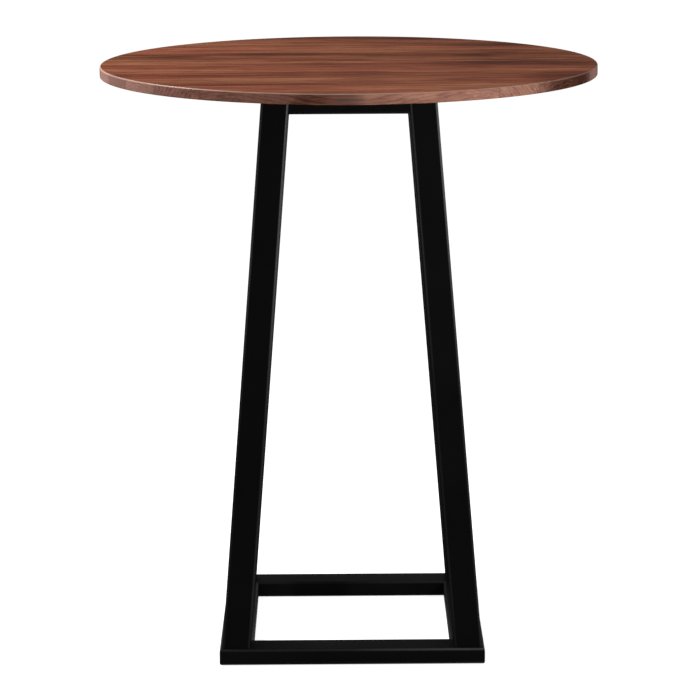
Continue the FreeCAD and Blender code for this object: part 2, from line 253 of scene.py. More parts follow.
def makeWalnut(spec):
    material, tree = newMaterial("oiledWalnut")
    coords = addNode(tree, "ShaderNodeTexCoord").outputs["Object"]
    tone, pith, edges, seed, arris = (
        addNode(tree, "ShaderNodeAttribute", {"attribute_name": name}).outputs[output]
        for name, output in (
            ("boardTone", "Fac"), ("boardPith", "Vector"), ("boardEdges", "Vector"),
            ("boardSeed", "Vector"), ("arris", "Fac"),
        )
    )
    place = addNode(tree, "ShaderNodeVectorMath", plus, coords, seed)

    # growth rings about a pith that lies under each board, drifting along its length
    drift = grainNoise(tree, place, *spec["wander"])
    fromTo = (0.0, 1.0, -spec["wanderDepth"], spec["wanderDepth"])
    shift = addNode(tree, "ShaderNodeMapRange", None, drift, *fromTo)
    shift = addNode(tree, "ShaderNodeCombineXYZ", None, 0.0, shift, shift)
    fromPith = addNode(tree, "ShaderNodeVectorMath", minus, coords, pith)
    fromPith = addNode(tree, "ShaderNodeVectorMath", times, fromPith, (0.0, 1.0, 1.0))
    fromPith = addNode(tree, "ShaderNodeVectorMath", plus, fromPith, shift)
    radius = addNode(tree, "ShaderNodeVectorMath", length, fromPith)
    rings = addNode(tree, "ShaderNodeMath", divided, radius, spec["ringSpacing"])
    uneven = grainNoise(tree, place, *spec["uneven"])
    fromTo = (0.0, 1.0, 0.0, spec["unevenDepth"])
    uneven = addNode(tree, "ShaderNodeMapRange", None, uneven, *fromTo)
    rings = addNode(tree, "ShaderNodeMath", plus, rings, uneven)
    year = addNode(tree, "ShaderNodeMath", {"operation": "FRACT"}, rings)
    late = addNode(tree, "ShaderNodeMath", {"operation": "POWER"}, year, spec["lateWoodPower"])

    # all of it added up to one level between dark heartwood and pale wood; the patterns follow
    # the same sideways drift as the rings
    drifted = addNode(tree, "ShaderNodeVectorMath", plus, place, shift)
    level = addNode(tree, "ShaderNodeMath", timesPlus, late, spec["lateWood"], tone)
    endLevel = level
    parts = {}
    for name, (perMetre, detail, roughness, weight) in spec["patterns"].items():
        parts[name] = grainNoise(tree, drifted, perMetre, detail, roughness)
        fromTo = (*spec["patternSpan"], -weight, weight)
        share = addNode(tree, "ShaderNodeMapRange", None, parts[name], *fromTo)
        level = addNode(tree, "ShaderNodeMath", plus, level, share)

    # a vein lies wherever slow noise passes its middle value
    vein = grainNoise(tree, drifted, *spec["veins"])
    vein = addNode(tree, "ShaderNodeMath", minus, vein, 0.5)
    vein = addNode(tree, "ShaderNodeMath", absolute, vein)
    fromTo = (0.0, spec["veinWidth"], spec["veinDark"], spec["veinPale"])
    vein = addNode(tree, "ShaderNodeMapRange", None, vein, *fromTo)
    level = addNode(tree, "ShaderNodeMath", plus, level, vein)

    # glue lines along both edges of the board
    across = addNode(tree, "ShaderNodeSeparateXYZ", None, coords).outputs["Y"]
    edges = addNode(tree, "ShaderNodeSeparateXYZ", None, edges).outputs
    fromTo = (0.0, spec["seamWidth"], spec["seam"], 0.0)
    for edge in (edges["X"], edges["Y"]):
        gap = addNode(tree, "ShaderNodeMath", minus, across, edge)
        gap = addNode(tree, "ShaderNodeMath", absolute, gap)
        seam = addNode(tree, "ShaderNodeMapRange", None, gap, *fromTo)
        level = addNode(tree, "ShaderNodeMath", plus, level, seam)

    # marks with ragged outlines
    ragged = grainNoise(tree, coords, *spec["ragged"]).outputs["Color"]
    ragged = addNode(tree, "ShaderNodeVectorMath", scaled, ragged, spec["raggedReach"])
    shares = spec["raggedShares"]
    ragged = addNode(tree, "ShaderNodeVectorMath", timesPlus, ragged, shares, coords)
    ragged = addNode(tree, "ShaderNodeVectorMath", minus, ragged, spec["raggedShift"])
    marked = markShares(tree, ragged, spec)
    level = addNode(tree, "ShaderNodeMath", plus, level, marked)
    endLevel = addNode(tree, "ShaderNodeMath", timesPlus, marked, spec["endMarks"], endLevel)
    wood = setStops(addNode(tree, "ShaderNodeValToRGB", None, level), spec["colours"])
    # end grain ramp, paler and greyer: partly real end grain, partly a painted sheen
    endGrainAndSheenWood = setStops(addNode(tree, "ShaderNodeValToRGB", None, endLevel), spec["endColours"])

    # the red cast and the pores
    cast = grainNoise(tree, place, *spec["red"])
    cast = addNode(tree, "ShaderNodeMapRange", None, cast, *spec["redSpan"], 0.0, 1.0)
    tinted = {**mixedColour, "blend_type": "MULTIPLY"}
    wood = addNode(tree, "ShaderNodeMix", tinted, cast, wood, linearColour(spec["redCast"]))
    pores = grainNoise(tree, place, *spec["pores"])
    fromTo = (*spec["poreSpan"], 0.0, spec["poreStrength"])
    pores = addNode(tree, "ShaderNodeMapRange", None, pores, *fromTo)
    poreColour = linearColour(spec["poreColour"])
    wood = addNode(tree, "ShaderNodeMix", mixedColour, pores, wood, poreColour)

    # the rim: end grain at its left and right, and a duller sawn edge all round, both in a ramp
    # whose paler, greyer tones are partly a painted sheen
    facing = addNode(tree, "ShaderNodeNewGeometry").outputs["Normal"]
    facing = addNode(tree, "ShaderNodeVectorMath", absolute, facing)
    facing = addNode(tree, "ShaderNodeSeparateXYZ", None, facing).outputs
    fromTo = (*spec["endSpan"], 0.0, spec["endStrength"])
    endGrainAndSheenShare = addNode(tree, "ShaderNodeMapRange", None, facing["X"], *fromTo)
    fromTo = (*spec["sawnSpan"], spec["sawnEdge"], 0.0)
    sawn = addNode(tree, "ShaderNodeMapRange", None, facing["Z"], *fromTo)
    endGrainAndSheenShare = addNode(tree, "ShaderNodeMath", largest, endGrainAndSheenShare, sawn)
    wood = addNode(tree, "ShaderNodeMix", mixedColour, endGrainAndSheenShare, wood, endGrainAndSheenWood)

    # the arris: a painted highlight in a paler colour, in patches
    fromTo = (*noiseSpan, spec["arrisLeast"], 1.0)
    paintedHighlightShare = addNode(tree, "ShaderNodeMapRange", None, parts["patches"], *fromTo)
    rubbed = addNode(tree, "ShaderNodeMath", times, arris, paintedHighlightShare)
    arrisColour = linearColour(spec["arrisColour"])
    wood = addNode(tree, "ShaderNodeMix", mixedColour, rubbed, wood, arrisColour)
    burnished = addNode(tree, "ShaderNodeMath", times, arris, spec["arrisGloss"])

    # fibres stand up and pores sink
    fromTo = (*noiseSpan, *spec["roughness"])
    rough = addNode(tree, "ShaderNodeMapRange", None, parts["streaks"], *fromTo)
    fromTo = (*spec["fibreSpan"], 0.0, spec["fibreHeight"])
    height = addNode(tree, "ShaderNodeMapRange", None, parts["fibres"], *fromTo)
    height = addNode(tree, "ShaderNodeMath", timesPlus, pores, -1.0, height)
    bump = addNode(
        tree, "ShaderNodeBump", Strength=spec["bump"], Distance=spec["poreDepth"], Height=height
    )
    shader = addNode(
        tree, "ShaderNodeBsdfPrincipled", BaseColor=wood, Roughness=rough, Normal=bump,
        SpecularIORLevel=spec["specular"], IOR=spec["ior"],
        CoatWeight=burnished, CoatRoughness=spec["arrisRoughness"],
    )
    addNode(tree, "ShaderNodeOutputMaterial", Surface=shader)
    return material


# powder coat over steel, satin black: an even, nearly black skin with a faint orange peel,
# and a painted highlight in a paler grey along the rounded corners of the tube

powderCoat = {
    "colour": "#111111",
    "cloudy": "#161617",
    "cloud": ((6.0, 6.0, 6.0), 2.0),
    "cloudSpan": (0.35, 0.7),
    "cloudStrength": 0.5,
    "arrisColour": "#707072",   # painted highlight along the rounded corners
    "arrisPatches": ((3.0, 3.0, 3.0), 1.0),
    "arrisLeast": 0.25,
    "arrisGloss": 0.42,
    "arrisRoughness": 0.3,
    "roughness": (0.54, 0.63),
    "specular": 0.0,
    "ior": 1.5,
    "peel": ((420.0, 420.0, 420.0), 1.0),       # orange peel 1 to 2 mm across
    "grain": ((1500.0, 1500.0, 1500.0), 1.0),   # powder grains 0.1 mm across, drawn 0.7 mm
    "grainShare": 0.4,
    "peelDepth": 0.00008,
    "bump": 0.25,
}

# the rails serve as a foot rest, and shoes have given them a little more sheen
railCoat = {**powderCoat, "specular": 0.006}


def makePowderCoat(name, spec):
    material, tree = newMaterial(name)
    coords = addNode(tree, "ShaderNodeTexCoord").outputs["Object"]
    arris = addNode(tree, "ShaderNodeAttribute", {"attribute_name": "arris"}).outputs["Fac"]
    peel = grainNoise(tree, coords, *spec["peel"])
    grain = grainNoise(tree, coords, *spec["grain"])
    cloud = grainNoise(tree, coords, *spec["cloud"])
    fromTo = (*spec["cloudSpan"], 0.0, spec["cloudStrength"])
    cloudShare = addNode(tree, "ShaderNodeMapRange", None, cloud, *fromTo)
    colours = (linearColour(spec["colour"]), linearColour(spec["cloudy"]))
    colour = addNode(tree, "ShaderNodeMix", mixedColour, cloudShare, *colours)
    # the painted corner highlight comes in patches
    paintedHighlightShare = grainNoise(tree, coords, *spec["arrisPatches"])
    paintedHighlightShare = addNode(tree, "ShaderNodeMapRange", None, paintedHighlightShare, *noiseSpan, spec["arrisLeast"], 1.0)
    rubbed = addNode(tree, "ShaderNodeMath", times, arris, paintedHighlightShare)
    arrisColour = linearColour(spec["arrisColour"])
    colour = addNode(tree, "ShaderNodeMix", mixedColour, rubbed, colour, arrisColour)
    burnished = addNode(tree, "ShaderNodeMath", times, arris, spec["arrisGloss"])
    fromTo = (*noiseSpan, *spec["roughness"])
    rough = addNode(tree, "ShaderNodeMapRange", None, cloud, *fromTo)
    height = addNode(tree, "ShaderNodeMath", timesPlus, grain, spec["grainShare"], peel)
    bump = addNode(
        tree, "ShaderNodeBump", Strength=spec["bump"], Distance=spec["peelDepth"], Height=height
    )
    shader = addNode(
        tree, "ShaderNodeBsdfPrincipled", BaseColor=colour, Roughness=rough, Normal=bump,
        SpecularIORLevel=spec["specular"], IOR=spec["ior"],
        CoatWeight=burnished, CoatRoughness=spec["arrisRoughness"],
    )
    addNode(tree, "ShaderNodeOutputMaterial", Surface=shader)
    return material


# steel with bright zinc plating: cool silver grey, slightly cloudy, with fine turning marks

zincPlate = {
    "colour": "#b9bcc0",
    "dull": "#8f9398",
    "cloud": ((260.0, 260.0, 260.0), 3.0),      # 4 mm across
    "cloudSpan": (0.35, 0.7),
    "roughness": (0.26, 0.42),
    "marks": ((2500.0, 2500.0, 2500.0), 1.0),   # 0.4 mm across
    "markDepth": 0.00003,
    "bump": 0.2,
}

# brass, turned and knurled: dull yellow metal with turning marks

turnedBrass = {
    "colour": "#c9a45c",
    "dull": "#8c6b38",
    "cloud": ((180.0, 180.0, 1400.0), 3.0),     # 5 mm round by 0.7 mm along
    "cloudSpan": (0.4, 0.7),
    "roughness": (0.3, 0.46),
    "marks": ((180.0, 180.0, 1400.0), 3.0),
    "markDepth": 0.00004,
    "bump": 0.3,
}


def makeMetal(name, spec):
    material, tree = newMaterial(name)
    coords = addNode(tree, "ShaderNodeTexCoord").outputs["Object"]
    cloud = grainNoise(tree, coords, *spec["cloud"])
    dull = addNode(tree, "ShaderNodeMapRange", None, cloud, *spec["cloudSpan"], 0.0, 1.0)
    colours = (linearColour(spec["colour"]), linearColour(spec["dull"]))
    colour = addNode(tree, "ShaderNodeMix", mixedColour, dull, *colours)
    fromTo = (*noiseSpan, *spec["roughness"])
    rough = addNode(tree, "ShaderNodeMapRange", None, cloud, *fromTo)
    marks = grainNoise(tree, coords, *spec["marks"])
    bump = addNode(
        tree, "ShaderNodeBump", Strength=spec["bump"], Distance=spec["markDepth"], Height=marks
    )
    shader = addNode(
        tree, "ShaderNodeBsdfPrincipled",
        BaseColor=colour, Metallic=1.0, Roughness=rough, Normal=bump,
    )
    addNode(tree, "ShaderNodeOutputMaterial", Surface=shader)
    return material


# nylon, injection moulded, black: matte, fine even texture, paler where it rubs the floor

mouldedNylon = {
    "colour": "#131313",
    "rubbed": "#2a2a2a",
    "rubbedHeight": 0.0006,     # above the floor
    "scuff": ((900.0, 900.0, 900.0), 3.0),      # 1 mm across
    "scuffDepth": 0.00005,
    "bump": 0.3,
    "roughness": (0.55, 0.68),
    "specular": 0.3,
    "ior": 1.53,
}


def makeMouldedNylon(spec):
    material, tree = newMaterial("mouldedNylon")
    coords = addNode(tree, "ShaderNodeTexCoord").outputs["Object"]
    height = addNode(tree, "ShaderNodeSeparateXYZ", None, coords).outputs["Z"]
    scuff = grainNoise(tree, coords, *spec["scuff"])
    fromTo = (0.0, spec["rubbedHeight"], 1.0, 0.0)
    nearFloor = addNode(tree, "ShaderNodeMapRange", None, height, *fromTo)
    rubbed = addNode(tree, "ShaderNodeMath", times, nearFloor, scuff)
    colours = (linearColour(spec["colour"]), linearColour(spec["rubbed"]))
    colour = addNode(tree, "ShaderNodeMix", mixedColour, rubbed, *colours)
    fromTo = (*noiseSpan, *spec["roughness"])
    rough = addNode(tree, "ShaderNodeMapRange", None, scuff, *fromTo)
    bump = addNode(
        tree, "ShaderNodeBump", Strength=spec["bump"], Distance=spec["scuffDepth"], Height=scuff
    )
    shader = addNode(
        tree, "ShaderNodeBsdfPrincipled", BaseColor=colour, Roughness=rough, Normal=bump,
        SpecularIORLevel=spec["specular"], IOR=spec["ior"],
    )
    addNode(tree, "ShaderNodeOutputMaterial", Surface=shader)
    return material


walnutMaterial = makeWalnut(walnut)
coatMaterial = makePowderCoat("blackPowderCoat", powderCoat)
railMaterial = makePowderCoat("rubbedPowderCoat", railCoat)
zincMaterial = makeMetal("zincPlatedSteel", zincPlate)
brassMaterial = makeMetal("turnedBrass", turnedBrass)
nylonMaterial = makeMouldedNylon(mouldedNylon)
print("materials made")


# top: twelve boards, each one a slice of a disc whose rim has rounded arrises

top = {
    "radius": 0.45,
    "underside": 1.046,
    "upper": 1.065,
    "wornTowards": -140.0,      # degrees round from the right to the painted highlight's peak; none opposite
    "upperRound": 0.0028,
    "lowerRound": 0.0018,
    "roundSteps": 6,
    "arcStep": 1.2,             # degrees of the rim between two points
    "leastSteps": 8,            # and the fewest steps on one board
    # board widths from front to rear, in parts of the diameter
    "widths": (78, 72, 72, 76, 74, 64, 82, 97, 85, 76, 72, 52),
    # tone of each board from dark 0 to pale 1, and where its pith lies: mm to the rear of its
    # middle, and mm below the upper face
    "tones": (0.68, 0.64, 0.71, 0.53, 0.68, 0.54, 0.53, 0.42, 0.70, 0.52, 0.51, 0.33),
    "piths": (
        (12, 60), (-70, 40), (8, 90), (60, 30), (-15, 70), (50, 50),
        (-6, 55), (80, 40), (10, 85), (-60, 45), (14, 65), (-40, 50),
    ),
    "grainStep": (1.37, 0.53, 0.29),    # each board is cut this much further on, in metres
    "insertHole": 0.0051,
    "insertHoleDepth": 0.014,
    "insertHoleSides": 40,
    "drillOvershoot": 0.01,
}

fastening = {
    "places": [(x, y) for x in (-0.07, 0.07) for y in (-0.27, -0.05, 0.05, 0.27)],
}


def rimProfile(spec):
    # height and radius of the rim from the lower face to the upper one
    lower, upper = spec["lowerRound"], spec["upperRound"]
    rounds = ((lower, spec["underside"] + lower, -90), (upper, spec["upper"] - upper, 0))
    points = []
    for radius, centre, start in rounds:
        for step in range(spec["roundSteps"] + 1):
            turn = math.radians(start + 90 * step / spec["roundSteps"])
            height = centre + radius * math.sin(turn)
            points.append((height, spec["radius"] - radius * (1 - math.cos(turn))))
    return points


def boardOutline(radius, front, rear, spec):
    # two arcs of a circle cut off by the glue lines, with the same number of points on each ring
    isFirst = front <= -spec["radius"] + closeEnough
    isLast = rear >= spec["radius"] - closeEnough
    fullFront = max(min(front / spec["radius"], 1), -1)
    fullRear = max(min(rear / spec["radius"], 1), -1)
    span = math.degrees(math.asin(fullRear) - math.asin(fullFront))
    count = max(spec["leastSteps"], round(span / spec["arcStep"]))
    start = -math.pi / 2 if isFirst else math.asin(max(front / radius, -1))
    end = math.pi / 2 if isLast else math.asin(min(rear / radius, 1))
    turns = [start + (end - start) * step / count for step in range(count + 1)]
    right = [(radius * math.cos(t), radius * math.sin(t)) for t in turns]
    left = [(-x, y) for x, y in reversed(right)]
    if isLast:
        left = left[1:]
    if isFirst:
        left = left[:-1]
    return right + left


def makeBoards(spec):
    total = sum(spec["widths"])
    front = -spec["radius"]
    for number, width in enumerate(spec["widths"], start=1):
        rear = front + 2 * spec["radius"] * width / total
        if number == len(spec["widths"]):
            rear = spec["radius"]
        form = bmesh.new()
        loops = []
        for height, radius in rimProfile(spec):
            outline = boardOutline(radius, front, rear, spec)
            loops.append([form.verts.new((x, y, height)) for x, y in outline])
        for lower, upper in zip(loops, loops[1:]):
            nextLower, nextUpper = lower[1:] + lower[:1], upper[1:] + upper[:1]
            for corners in zip(lower, nextLower, nextUpper, upper):
                form.faces.new(corners)
        form.faces.new(loops[-1])
        form.faces.new(list(reversed(loops[0])))
        name = f"topBoard{number:02d}"
        board = newPiece(name, formMesh(name, form), walnutMaterial)
        drillInsertHoles(board, front, rear, spec)
        cleanShading(board)
        describeBoard(board.data, front, rear, number, spec)
        standFor(board, "walnut", f"board_{number:02d}")
        front = rear


def drillInsertHoles(board, front, rear, spec):
    holes = [(x, y) for x, y in fastening["places"] if front < y < rear]
    if not holes:
        return
    form = bmesh.new()
    depth, overshoot = spec["insertHoleDepth"], spec["drillOvershoot"]
    for x, y in holes:
        middle = Matrix.Translation((x, y, spec["underside"] + depth / 2 - overshoot / 2))
        bmesh.ops.create_cone(
            form, cap_ends=True, segments=spec["insertHoleSides"], matrix=middle,
            radius1=spec["insertHole"], radius2=spec["insertHole"], depth=depth + overshoot,
        )
    drill = bpy.data.objects.new("drill", formMesh("drill", form))
    scene.collection.objects.link(drill)
    cut = board.modifiers.new("insertHoles", "BOOLEAN")
    cut.operation = "DIFFERENCE"
    cut.solver = "EXACT"
    cut.object = drill
    applyModifiers(board)
    bpy.data.objects.remove(drill)


def describeBoard(mesh, front, rear, number, spec):
    # what the walnut reads on each board: its tone, its pith, its edges, its own stretch of
    # grain, and how near a point is to the middle of the upper arris, for the painted highlight
    toRear, below = spec["piths"][number - 1]
    pith = (0.0, (front + rear) / 2 + toRear / 1000, spec["upper"] - below / 1000)
    seed = tuple(number * step for step in spec["grainStep"])
    count = len(mesh.vertices)
    shares = []
    for vertex in mesh.vertices:
        x, y, z = vertex.co
        out = math.hypot(x, y) - spec["radius"] + spec["upperRound"]
        up = z - spec["upper"] + spec["upperRound"]
        # the painted arris highlight peaks in one direction round the top, none opposite
        paintedHighlightShare = 0.5 + 0.5 * math.cos(math.atan2(y, x) - math.radians(spec["wornTowards"]))
        shares.append(paintedHighlightShare * arrisShare(out, up, spec["upperRound"]))
    for name, kind, part, values in (
        ("boardTone", "FLOAT", "value", [spec["tones"][number - 1]] * count),
        ("boardPith", "FLOAT_VECTOR", "vector", pith * count),
        ("boardEdges", "FLOAT_VECTOR", "vector", (front, rear, 0.0) * count),
        ("boardSeed", "FLOAT_VECTOR", "vector", seed * count),
        ("arris", "FLOAT", "value", shares),
    ):
        mesh.attributes.new(name, kind, "POINT").data.foreach_set(part, values)


makeBoards(top)
print("top boards made")


# frame of square and rectangular tube, all from one Geometry Nodes tree

tube = {
    "wall": 0.002,
    "corner": 0.005,
    "cornerSteps": 7,
    # how strong the painted corner highlight is at the start, middle and end: rails at the
    # mitres, legs near the top
    "frontRailWear": (0.6, 0.2, 0.6),
    "railWear": (0.25, 0.08, 0.25),
    "barWear": (0.1, 0.1, 0.1),
    "legWear": (0.15, 0.35, 1.0),
    # corners turned to the left get less painted highlight: how fast that sets in, the least share
    "leftFade": 1.2,
    "leftWear": 0.25,
}

# middle is the height of the rails' and bars' middle lines
ring = {"width": 0.48, "railWidth": 0.06, "railHeight": 0.03, "middle": 0.016}

# foot and head are the leg's distance from the middle, on both axes, at its two ends
legs = {"width": 0.05, "foot": 0.21, "head": 0.129, "bottom": 0.031, "rise": 1.01}

bars = {"middle": 1.016, "shortLength": 0.208}


def newGroup(name, given):
    # a Geometry Nodes tree with these inputs: name, kind and usual value
    tree = bpy.data.node_groups.new(name, "GeometryNodeTree")
    for label, kind, usual in given:
        socket = tree.interface.new_socket(label, in_out="INPUT", socket_type=kind)
        if usual is not None:
            socket.default_value = usual
    tree.interface.new_socket("Geometry", in_out="OUTPUT", socket_type="NodeSocketGeometry")
    return tree, addNode(tree, "NodeGroupInput").outputs


def makeTubeTree(spec):
    # a tube along Z: Mitre shortens it towards +X, Lean carries it sideways as it rises
    tree, given = newGroup("squareTube", (
        ("Width", "NodeSocketFloat", 0.05),
        ("Depth", "NodeSocketFloat", 0.05),
        ("Corner", "NodeSocketFloat", spec["corner"]),
        ("Wall", "NodeSocketFloat", spec["wall"]),
        ("Length", "NodeSocketFloat", 1.0),
        ("Mitre", "NodeSocketFloat", 0.0),
        ("Lean", "NodeSocketVector", (0.0, 0.0, 0.0)),
        ("Finish", "NodeSocketMaterial", None),
    ))

    def section(width, depth, corner):
        outline = addNode(
            tree, "GeometryNodeCurvePrimitiveQuadrilateral", Width=width, Height=depth
        )
        return addNode(
            tree, "GeometryNodeFilletCurve", {"mode": "POLY"},
            Curve=outline, Radius=corner, Count=spec["cornerSteps"],
        )

    def joined(*parts):
        both = addNode(tree, "GeometryNodeJoinGeometry")
        for part in parts:
            tree.links.new(part.outputs[0], both.inputs[0])
        return both

    outer = section(given["Width"], given["Depth"], given["Corner"])
    boreWidth = addNode(tree, "ShaderNodeMath", timesPlus, given["Wall"], -2.0, given["Width"])
    boreDepth = addNode(tree, "ShaderNodeMath", timesPlus, given["Wall"], -2.0, given["Depth"])
    boreCorner = addNode(tree, "ShaderNodeMath", minus, given["Corner"], given["Wall"])
    inner = section(boreWidth, boreDepth, boreCorner)
    face = addNode(
        tree, "GeometryNodeFillCurve", {"mode": "TRIANGLES"}, Curve=joined(inner, outer)
    )
    rise = addNode(tree, "ShaderNodeCombineXYZ", None, 0.0, 0.0, given["Length"])
    run = addNode(
        tree, "GeometryNodeExtrudeMesh", {"mode": "FACES"},
        Mesh=face, Offset=rise, OffsetScale=1.0, Individual=False,
    )
    foot = addNode(tree, "GeometryNodeFlipFaces", Mesh=face)
    closed = addNode(
        tree, "GeometryNodeMergeByDistance", Geometry=joined(foot, run), Distance=weldDistance
    )

    # ends cut on the slant, and the whole tube leaned over
    at = addNode(tree, "GeometryNodeInputPosition")
    at = addNode(tree, "ShaderNodeSeparateXYZ", None, at).outputs
    half = addNode(tree, "ShaderNodeMath", divided, given["Length"], 2.0)
    lost = addNode(tree, "ShaderNodeMath", timesPlus, given["Width"], 0.5, at["X"])
    lost = addNode(tree, "ShaderNodeMath", times, lost, given["Mitre"])
    share = addNode(tree, "ShaderNodeMath", minus, half, lost)
    share = addNode(tree, "ShaderNodeMath", divided, share, half)
    level = addNode(tree, "ShaderNodeMath", minus, at["Z"], half)
    level = addNode(tree, "ShaderNodeMath", times, level, share)
    straight = addNode(tree, "ShaderNodeCombineXYZ", None, at["X"], at["Y"], level)
    leaned = addNode(tree, "ShaderNodeVectorMath", scaled, given["Lean"], at["Z"])
    moved = addNode(tree, "ShaderNodeVectorMath", plus, straight, leaned)
    shaped = addNode(tree, "GeometryNodeSetPosition", Geometry=closed, Position=moved)
    shaped = addNode(tree, "GeometryNodeRealizeInstances", Geometry=shaped)
    shaped = addNode(
        tree, "GeometryNodeSetMaterial", Geometry=shaped, Material=given["Finish"]
    )
    addNode(tree, "NodeGroupOutput", Geometry=shaped)
    return tree


def grownMesh(name, tree, values, points=()):
    # runs a tree on an object that has only these points, and returns what it makes
    mesh = bpy.data.meshes.new(name)
    mesh.from_pydata(points, [], [])
    holder = bpy.data.objects.new(name, mesh)
    scene.collection.objects.link(holder)
    grown = holder.modifiers.new(name, "NODES")
    grown.node_group = tree
    for item in tree.interface.items_tree:
        if item.item_type == "SOCKET" and item.in_out == "INPUT" and item.name in values:
            grown[item.identifier] = values[item.name]
    applyModifiers(holder)
    mesh = holder.data
    bpy.data.objects.remove(holder)
    return mesh


def axesMatrix(alongX, alongY, alongZ, origin):
    turned = Matrix((alongX, alongY, alongZ)).transposed().to_4x4()
    return Matrix.Translation(origin) @ turned


def splitInMiddle(mesh):
    # a ring of points at mid-length, so that the wear can differ there
    form = bmesh.new()
    form.from_mesh(mesh)
    everything = form.verts[:] + form.edges[:] + form.faces[:]
    bmesh.ops.bisect_plane(form, geom=everything, plane_co=(0, 0, 0), plane_no=(0, 0, 1))
    form.to_mesh(mesh)
    form.free()


def cornerShares(mesh, values, highlightAlong):
    # the rounded corners of a tube, with painted highlight shares for its start, middle and end
    leanX, leanY, _ = values.get("Lean", (0.0, 0.0, 0.0))
    shares = []
    for vertex in mesh.vertices:
        rise = vertex.co.z + values["Length"] / 2
        out = abs(vertex.co.x - leanX * rise) - values["Width"] / 2 + values["Corner"]
        up = abs(vertex.co.y - leanY * rise) - values["Depth"] / 2 + values["Corner"]
        onOuter = math.hypot(out, up) > values["Corner"] - values["Wall"] / 2
        start = max(0.0, 1 - 2 * rise / values["Length"])
        end = max(0.0, 2 * rise / values["Length"] - 1)
        kept = highlightAlong[0] * start + highlightAlong[1] * (1 - start - end) + highlightAlong[2] * end
        shares.append(kept * arrisShare(out, up, values["Corner"]) if onOuter else 0.0)
    return shares


def makeTubePiece(name, node, material, sizes, highlightAlong, lie, quarterTurns):
    values = {"Corner": tube["corner"], "Wall": tube["wall"], "Finish": material, **sizes}
    mesh = grownMesh(name, tubeTree, values)
    splitInMiddle(mesh)
    shares = cornerShares(mesh, values, highlightAlong)
    mesh.transform(Matrix.Rotation(math.radians(90 * quarterTurns), 4, "Z") @ lie)
    # less painted highlight on corners that face left
    for number, vertex in enumerate(mesh.vertices):
        facing = 1 + tube["leftFade"] * min(0.0, vertex.normal.x)
        shares[number] *= max(tube["leftWear"], facing)
    mesh.attributes.new("arris", "FLOAT", "POINT").data.foreach_set("value", shares)
    piece = newPiece(name, mesh, material)
    cleanShading(piece)
    standFor(piece, "black_powder_coat", node)


tubeTree = makeTubeTree(tube)
sides = ("front", "right", "rear", "left")
corners = ("front_left", "front_right", "rear_right", "rear_left")

# rails: local X runs inwards, so the mitre shortens them there
railOut = (ring["width"] - ring["railWidth"]) / 2
railLie = axesMatrix((0, 1, 0), (0, 0, 1), (1, 0, 0), (0, -railOut, ring["middle"]))
railSizes = {
    "Width": ring["railWidth"], "Depth": ring["railHeight"], "Length": ring["width"], "Mitre": 1.0
}

# bars: local X points up, and the slant follows the lean of the legs
lean = (legs["foot"] - legs["head"]) / legs["rise"]
barLie = axesMatrix((0, 0, 1), (0, -1, 0), (1, 0, 0), (0, -legs["head"], bars["middle"]))
barLength = bars["shortLength"] + 2 * lean * legs["width"]
barSizes = {"Width": legs["width"], "Depth": legs["width"], "Length": barLength, "Mitre": lean}

# legs: level sections carried up along the lean
legMiddle = legs["bottom"] + legs["rise"] / 2
legLie = Matrix.Translation((-legs["foot"], -legs["foot"], legMiddle))
legSizes = {
    "Width": legs["width"], "Depth": legs["width"], "Length": legs["rise"],
    "Lean": (lean, lean, 0.0),
}

for turns, side in enumerate(sides):
    # how much painted highlight each tube gets along its corners
    highlightAlong = tube["frontRailWear"] if side == "front" else tube["railWear"]
    makeTubePiece(f"{side}Rail", f"{side}_rail", railMaterial, railSizes, highlightAlong, railLie, turns)
    highlightAlong = tube["barWear"]
    makeTubePiece(f"{side}Bar", f"{side}_bar", coatMaterial, barSizes, highlightAlong, barLie, turns)
for turns, corner in enumerate(corners):
    first, second = corner.split("_")
    name = f"{first}{second.title()}Leg"
    highlightAlong = tube["legWear"]
    makeTubePiece(name, f"{corner}_leg", coatMaterial, legSizes, highlightAlong, legLie, turns)
print("steel frame made")


# battens: flat bar with eased edges, holes near the middle and slots near the ends

battens = {"ease": 0.0006, "easeSteps": 2, "easeAngle": 50, "flatAngle": 0.5}


def makeBattens(spec):
    for side in ("left", "right"):
        form = bmesh.new()
        form.from_mesh(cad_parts[f"{side}_batten"].data)
        bmesh.ops.remove_doubles(form, verts=form.verts, dist=weldDistance)
        flat = math.radians(spec["flatAngle"])
        bmesh.ops.dissolve_limit(form, angle_limit=flat, verts=form.verts, edges=form.edges)
        name = f"{side}Batten"
        batten = newPiece(name, formMesh(name, form), coatMaterial)
        ease = batten.modifiers.new("ease", "BEVEL")
        ease.width = spec["ease"]
        ease.segments = spec["easeSteps"]
        ease.limit_method = "ANGLE"
        ease.angle_limit = math.radians(spec["easeAngle"])
        applyModifiers(batten)
        cleanShading(batten)
        standFor(batten, "black_powder_coat", f"{side}_batten")


makeBattens(battens)
print("battens made")


# screws, washers and inserts: one of each is turned on its axis, and a Geometry Nodes tree
# sets it at all eight places

# seat is the height of the face that a piece lies on or starts from

screw = {
    "seat": 1.0394,
    "length": 0.016,
    "threadRadius": 0.003,
    "threadDepth": 0.00035,
    "pitch": 0.001,
    "headRadius": 0.00525,
    "headHeight": 0.0033,
    "headRound": 0.0022,
    "headSteps": 6,
    "socketRadius": 0.0023094,
    "socketDepth": 0.002,
    "sides": 36,
}

washer = {
    "seat": 1.0394, "inner": 0.0033, "outer": 0.009, "thickness": 0.0016, "ease": 0.0003,
    "sides": 48,
}

insert = {
    "seat": 1.046, "inner": 0.0031, "outer": 0.005, "length": 0.013, "ribs": 0.0004,
    "ribPitch": 0.0018, "sides": 32,
}


